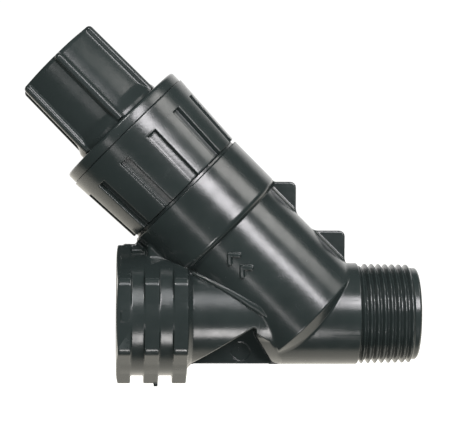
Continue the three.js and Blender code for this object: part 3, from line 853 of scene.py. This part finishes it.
def moulded(name, colour, rough, speck=1.0, edge=0.35, grain=1.0, seed=0.0, scale=1.0, specular=0.5):
    """injection-moulded thermoplastic: flow marks, fine grain, handling marks, rubbed edges"""
    m = bpy.data.materials.new(name)
    m.use_nodes = True
    t = m.node_tree
    t.nodes.clear()
    out = node(t, "ShaderNodeOutputMaterial", (900, 0))
    b = node(t, "ShaderNodeBsdfPrincipled", (600, 0))
    b.inputs["IOR"].default_value = 1.5
    b.inputs["Specular IOR Level"].default_value = specular
    t.links.new(b.outputs[0], out.inputs[0])
    tc = node(t, "ShaderNodeTexCoord", (-1500, 0))
    mp = node(t, "ShaderNodeMapping", (-1300, 0))
    mp.inputs["Location"].default_value = (seed, seed * 0.7, seed * 1.3)
    t.links.new(tc.outputs["Object"], mp.inputs["Vector"])
    # broad flow variation and cloudy handling marks
    flow = node(t, "ShaderNodeTexNoise", (-1050, 300), Scale=42.0 * scale, Detail=3.0, Roughness=0.55)
    marks = node(t, "ShaderNodeTexNoise", (-1050, 50), Scale=260.0 * scale, Detail=6.0, Roughness=0.68)
    fine = node(t, "ShaderNodeTexNoise", (-1050, -200), Scale=2600.0 * scale, Detail=2.0, Roughness=0.5)
    dust = node(t, "ShaderNodeTexVoronoi", (-1050, -450), Scale=900.0 * scale)
    for n in (flow, marks, fine, dust):
        t.links.new(mp.outputs[0], n.inputs["Vector"])
    # fine scratches: noise stretched along one direction
    st = node(t, "ShaderNodeMapping", (-1300, -700))
    st.inputs["Scale"].default_value = (2200, 2200, 130)
    st.inputs["Rotation"].default_value = (0.0, math.radians(-45), 0.3)
    t.links.new(tc.outputs["Object"], st.inputs["Vector"])
    scr = node(t, "ShaderNodeTexNoise", (-1050, -700), Scale=1.0, Detail=3.0, Roughness=0.6)
    t.links.new(st.outputs[0], scr.inputs["Vector"])
    geo = node(t, "ShaderNodeNewGeometry", (-1050, 560))
    edge_r = node(t, "ShaderNodeMapRange", (-800, 560))
    edge_r.inputs["From Min"].default_value = 0.54
    edge_r.inputs["From Max"].default_value = 0.66
    edge_r.interpolation_type = "SMOOTHSTEP"
    t.links.new(geo.outputs["Pointiness"], edge_r.inputs["Value"])
    wear = node(t, "ShaderNodeMath", (-600, 560))
    wear.operation = "MULTIPLY"
    t.links.new(edge_r.outputs[0], wear.inputs[0])
    t.links.new(marks.outputs["Fac"], wear.inputs[1])
    wear2 = node(t, "ShaderNodeMath", (-430, 560))
    wear2.operation = "MULTIPLY"
    wear2.inputs[1].default_value = edge
    t.links.new(wear.outputs[0], wear2.inputs[0])
    # colour
    dark = tuple(c * 0.84 for c in colour) + (1,)
    light = tuple(min(1, c * 1.16) for c in colour) + (1,)
    cr = node(t, "ShaderNodeValToRGB", (-700, 300))
    cr.color_ramp.elements[0].position = 0.3
    cr.color_ramp.elements[0].color = dark
    cr.color_ramp.elements[1].position = 0.7
    cr.color_ramp.elements[1].color = light
    t.links.new(flow.outputs["Fac"], cr.inputs["Fac"])
    speckr = node(t, "ShaderNodeMapRange", (-800, -450))
    speckr.inputs["From Min"].default_value = 0.0
    speckr.inputs["From Max"].default_value = 0.10
    speckr.inputs["To Min"].default_value = 0.10 * speck
    speckr.inputs["To Max"].default_value = 0.0
    t.links.new(dust.outputs["Distance"], speckr.inputs["Value"])
    mixw = node(t, "ShaderNodeMix", (-250, 300))
    mixw.data_type = "RGBA"
    mixw.inputs["B"].default_value = tuple(min(1, c * 3.2 + 0.02) for c in colour) + (1,)
    t.links.new(wear2.outputs[0], mixw.inputs["Factor"])
    t.links.new(cr.outputs["Color"], mixw.inputs["A"])
    mixd = node(t, "ShaderNodeMix", (0, 300))
    mixd.data_type = "RGBA"
    mixd.inputs["B"].default_value = (0.22, 0.21, 0.19, 1)
    t.links.new(speckr.outputs[0], mixd.inputs["Factor"])
    t.links.new(mixw.outputs["Result"], mixd.inputs["A"])
    t.links.new(mixd.outputs["Result"], b.inputs["Base Color"])
    # roughness
    rr = node(t, "ShaderNodeMapRange", (-700, 50))
    rr.inputs["From Min"].default_value = 0.3
    rr.inputs["From Max"].default_value = 0.7
    rr.inputs["To Min"].default_value = rough - 0.045
    rr.inputs["To Max"].default_value = rough + 0.065
    t.links.new(marks.outputs["Fac"], rr.inputs["Value"])
    add = node(t, "ShaderNodeMath", (0, 50))
    add.operation = "ADD"
    t.links.new(rr.outputs[0], add.inputs[0])
    t.links.new(wear2.outputs[0], add.inputs[1])
    t.links.new(add.outputs[0], b.inputs["Roughness"])
    # bump: grain, flow lines, scratches
    b1 = node(t, "ShaderNodeBump", (0, -200), Strength=0.10 * grain, Distance=0.00006)
    b2 = node(t, "ShaderNodeBump", (200, -300), Strength=0.10 * grain, Distance=0.00035)
    b3 = node(t, "ShaderNodeBump", (380, -400), Strength=0.05 * grain, Distance=0.00006)
    t.links.new(fine.outputs["Fac"], b1.inputs["Height"])
    t.links.new(marks.outputs["Fac"], b2.inputs["Height"])
    t.links.new(scr.outputs["Fac"], b3.inputs["Height"])
    t.links.new(b1.outputs[0], b2.inputs["Normal"])
    t.links.new(b2.outputs[0], b3.inputs["Normal"])
    t.links.new(b3.outputs[0], b.inputs["Normal"])
    return m


def rubber(name):
    m = moulded(name, (0.012, 0.012, 0.0125), 0.62, speck=1.5, edge=0.25, grain=1.6, seed=3.1)
    return m


def steel(name):
    m = bpy.data.materials.new(name)
    m.use_nodes = True
    t = m.node_tree
    b = t.nodes["Principled BSDF"]
    b.inputs["Metallic"].default_value = 1.0
    tc = node(t, "ShaderNodeTexCoord", (-1200, 0))
    n1 = node(t, "ShaderNodeTexNoise", (-950, 150), Scale=900.0, Detail=4.0)
    n2 = node(t, "ShaderNodeTexNoise", (-950, -150), Scale=6000.0, Detail=2.0)
    t.links.new(tc.outputs["Object"], n1.inputs["Vector"])
    t.links.new(tc.outputs["Object"], n2.inputs["Vector"])
    cr = node(t, "ShaderNodeValToRGB", (-650, 150))
    cr.color_ramp.elements[0].color = (0.42, 0.43, 0.44, 1)
    cr.color_ramp.elements[1].color = (0.64, 0.65, 0.66, 1)
    t.links.new(n1.outputs["Fac"], cr.inputs["Fac"])
    t.links.new(cr.outputs["Color"], b.inputs["Base Color"])
    mr = node(t, "ShaderNodeMapRange", (-650, -150))
    mr.inputs["To Min"].default_value = 0.24
    mr.inputs["To Max"].default_value = 0.42
    t.links.new(n2.outputs["Fac"], mr.inputs["Value"])
    t.links.new(mr.outputs[0], b.inputs["Roughness"])
    bp = node(t, "ShaderNodeBump", (-300, -350), Strength=0.1, Distance=0.00002)
    t.links.new(n2.outputs["Fac"], bp.inputs["Height"])
    t.links.new(bp.outputs[0], b.inputs["Normal"])
    return m


MAT = {
    "body_plastic": moulded("body_plastic", (0.0170, 0.0228, 0.0222), 0.215, seed=0.0),
    "nut_plastic": moulded("nut_plastic", (0.0170, 0.0228, 0.0222), 0.225, seed=1.7, edge=0.05),
    "cap_plastic": moulded("cap_plastic", (0.0200, 0.0262, 0.0256), 0.22, seed=2.9, edge=0.06, specular=0.3),
    "bonnet_plastic": moulded("bonnet_plastic", (0.024, 0.029, 0.030), 0.36, seed=4.3),
    "screen_plastic": moulded("screen_plastic", (0.045, 0.047, 0.048), 0.48, seed=5.1, grain=1.4),
    "seal_rubber": rubber("seal_rubber"),
    "screen_steel": steel("screen_steel"),
}
for ob in pieces.values():
    ob.data.materials.clear()
    ob.data.materials.append(MAT[ob["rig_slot"]])

# ------------------------------------------------------------------ camera
D, AZ, EL, TX, TZ, ROLL, FPX = 0.560, -3.424, -0.254, 0.02957, 0.027004, 0.246, 2118.5
a, e = math.radians(AZ), math.radians(EL)
back = Vector((math.sin(a) * math.cos(e), -math.cos(a) * math.cos(e), math.sin(e)))
right = (-back).cross(Vector((0, 0, 1))).normalized()
up = right.cross(-back)
c, s = math.cos(math.radians(ROLL)), math.sin(math.radians(ROLL))
r2, u2 = c * right + s * up, -s * right + c * up
cam_data = bpy.data.cameras.new("camera")
cam = bpy.data.objects.new("camera", cam_data)
bpy.context.scene.collection.objects.link(cam)
rot = Matrix((r2, u2, back)).transposed()
cam.matrix_world = Matrix.Translation(Vector((TX, 0, TZ)) + back * D) @ rot.to_4x4()
cam_data.sensor_width = 36.0
cam_data.lens = FPX * 36.0 / 457.0
cam_data.clip_start, cam_data.clip_end = 0.01, 50.0
bpy.context.scene.camera = cam

# ------------------------------------------------------------------ floor, light
floor_me = bpy.data.meshes.new("floor")
floor_me.from_pydata([(-6, -6, -0.06), (6, -6, -0.06), (6, 6, -0.06), (-6, 6, -0.06)], [], [(0, 1, 2, 3)])
floor = bpy.data.objects.new("floor", floor_me)
bpy.context.scene.collection.objects.link(floor)
fm = bpy.data.materials.new("floor")
fm.use_nodes = True
ft = fm.node_tree
fb = ft.nodes["Principled BSDF"]
fb.inputs["Base Color"].default_value = (0.80, 0.79, 0.77, 1)
fb.inputs["Roughness"].default_value = 0.9
fb.inputs["Specular IOR Level"].default_value = 0.0
fb.inputs["Emission Color"].default_value = (1.0, 0.99, 0.97, 1)
fb.inputs["Emission Strength"].default_value = 1.1
floor_me.materials.append(fm)
floor.visible_glossy = False
floor.visible_diffuse = False
floor.visible_shadow = False

world = bpy.data.worlds.new("studio")
bpy.context.scene.world = world
world.use_nodes = True
w = world.node_tree
w.nodes.clear()


def wmath(op, x, y=None, z=None, clamp=False):
    n = w.nodes.new("ShaderNodeMath")
    n.operation = op
    n.use_clamp = clamp
    for i, v in enumerate((x, y, z)):
        if v is None:
            continue
        if isinstance(v, (int, float)):
            n.inputs[i].default_value = v
        else:
            w.links.new(v, n.inputs[i])
    return n.outputs[0]


def wramp(v, lo, hi):
    n = w.nodes.new("ShaderNodeMapRange")
    n.interpolation_type = "SMOOTHSTEP"
    for k, x in (("Value", v), ("From Min", lo), ("From Max", hi)):
        if isinstance(x, (int, float)):
            n.inputs[k].default_value = x
        else:
            w.links.new(x, n.inputs[k])
    return n.outputs[0]


tc = w.nodes.new("ShaderNodeTexCoord")
sep = w.nodes.new("ShaderNodeSeparateXYZ")
w.links.new(tc.outputs["Generated"], sep.inputs[0])
dx, dy, dz = sep.outputs
low = wramp(wmath("MULTIPLY", dz, -1.0), -0.3, 0.3)                     # 1 below, 0 above
th = wmath("ADD", wmath("MULTIPLY", wmath("SUBTRACT", 1.0, low), 0.62), -0.02)
th = wmath("ADD", th, wmath("MULTIPLY", wmath("MAXIMUM", wmath("MULTIPLY", dx, -1.0), 0.0), 0.45))
glow = wramp(wmath("SUBTRACT", dy, th), -0.12, 0.14)
mixc = w.nodes.new("ShaderNodeMix")
mixc.data_type = "RGBA"
mixc.inputs["A"].default_value = (1.0, 0.99, 0.98, 1)
mixc.inputs["B"].default_value = (1.0, 0.955, 0.85, 1)
w.links.new(low, mixc.inputs["Factor"])
mixf = w.nodes.new("ShaderNodeMix")
mixf.data_type = "RGBA"
mixf.inputs["A"].default_value = (0.075, 0.095, 0.092, 1)
w.links.new(glow, mixf.inputs["Factor"])
scale_c = w.nodes.new("ShaderNodeVectorMath")
scale_c.operation = "SCALE"
scale_c.inputs["Scale"].default_value = 1.4
w.links.new(mixc.outputs["Result"], scale_c.inputs[0])
w.links.new(scale_c.outputs[0], mixf.inputs["B"])
bg = w.nodes.new("ShaderNodeBackground")
w.links.new(mixf.outputs["Result"], bg.inputs["Color"])
bgw = w.nodes.new("ShaderNodeBackground")
bgw.inputs["Color"].default_value = (1, 1, 1, 1)
bgw.inputs["Strength"].default_value = 1.05
lp = w.nodes.new("ShaderNodeLightPath")
ms = w.nodes.new("ShaderNodeMixShader")
w.links.new(lp.outputs["Is Camera Ray"], ms.inputs[0])
w.links.new(bg.outputs[0], ms.inputs[1])
w.links.new(bgw.outputs[0], ms.inputs[2])
wo = w.nodes.new("ShaderNodeOutputWorld")
w.links.new(ms.outputs[0], wo.inputs[0])


def panel(name, centre, look, size_x, size_y, radiance, colour=(1, 1, 1), x_axis=(1, 0, 0)):
    """rectangular soft box; radiance is what a mirror would show"""
    ld = bpy.data.lights.new(name, "AREA")
    ld.shape = "RECTANGLE"
    ld.size, ld.size_y = size_x, size_y
    ld.energy = radiance * math.pi * size_x * size_y
    ld.color = colour
    ob = bpy.data.objects.new(name, ld)
    bpy.context.scene.collection.objects.link(ob)
    z = (Vector(centre) - Vector(look)).normalized()
    x = Vector(x_axis)
    x = (x - x.dot(z) * z).normalized()
    y = z.cross(x)
    ob.matrix_world = Matrix.Translation(Vector(centre)) @ Matrix((x, y, z)).transposed().to_4x4()
    ob.visible_camera = False
    return ob


panel("key", (0.2625, -0.6, 0.325), (0.2625, 0.0, 0.325), 0.255, 0.33, 20.0, (1.0, 0.97, 1.0))
panel("side", (0.257, -0.12, 0.257), (0.02, -0.018, 0.02), 0.125, 0.15, 6.5, (1.0, 0.97, 0.94), (-1, 0, 1))
panel("low_left", (-0.24, -0.52, -0.23), (0.03, 0.0, 0.027), 0.35, 0.07, 4.5, (1.0, 0.96, 0.96), (-1, 0, 1))
panel("low", (0.056, -0.36, -0.34), (0.056, 0.0, 0.0), 0.05, 0.15, 19.0, (1.0, 0.97, 0.96))
panel("low_sleeves", (0.0, -0.36, -0.34), (0.0, 0.0, 0.0), 0.058, 0.15, 10.0, (1.0, 0.97, 0.96))
panel("high_left", (0.006, -0.6, 0.42), (0.006, 0.0, 0.1), 0.07, 0.35, 8.0, (0.97, 0.98, 1.0))
panel("edge_left", (-0.21, -0.49, 0.361), (0.026, -0.012, 0.008), 0.26, 0.05, 50.0, (1.0, 0.98, 0.97))

scene = bpy.context.scene
scene.view_settings.view_transform = "Standard"
scene.view_settings.look = "None"
scene.view_settings.exposure = 0.0
scene.view_settings.gamma = 1.0

bpy.context.view_layer.update()
